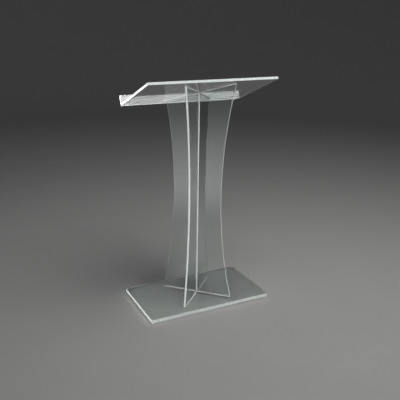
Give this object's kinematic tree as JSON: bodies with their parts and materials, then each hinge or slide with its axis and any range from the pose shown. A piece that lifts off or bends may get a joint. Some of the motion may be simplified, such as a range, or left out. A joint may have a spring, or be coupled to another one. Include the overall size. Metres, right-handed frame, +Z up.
{
  "type": "presentation lectern",
  "caption": "Clear acrylic standing lectern: tilted desk with a book stop on an X-shaped waisted column over a flat base plate with bumper feet.",
  "frame": {"origin": "on the floor, on the vertical axis where the two column panels cross, which is the middle of the base plate and within 6 mm of the middle of the whole object's box", "axes": "+X along the width, to the right as the audience sees it; -Y faces the audience, +Y faces the speaker; +Z up"},
  "size_m": [0.673, 0.3919, 1.1793],
  "materials": {
    "clear_acrylic": "polished",
    "clear_bumper": "satin"
  },
  "bodies": {
    "root": {"base_plate": "clear_acrylic", "column_panel_top_slot": "clear_acrylic", "column_panel_foot_slot": "clear_acrylic", "desk_plate": "clear_acrylic", "book_stop": "clear_acrylic", "foot_front_left": "clear_bumper", "foot_front_right": "clear_bumper", "foot_rear_left": "clear_bumper", "foot_rear_right": "clear_bumper"}
  },
  "joints": []
}
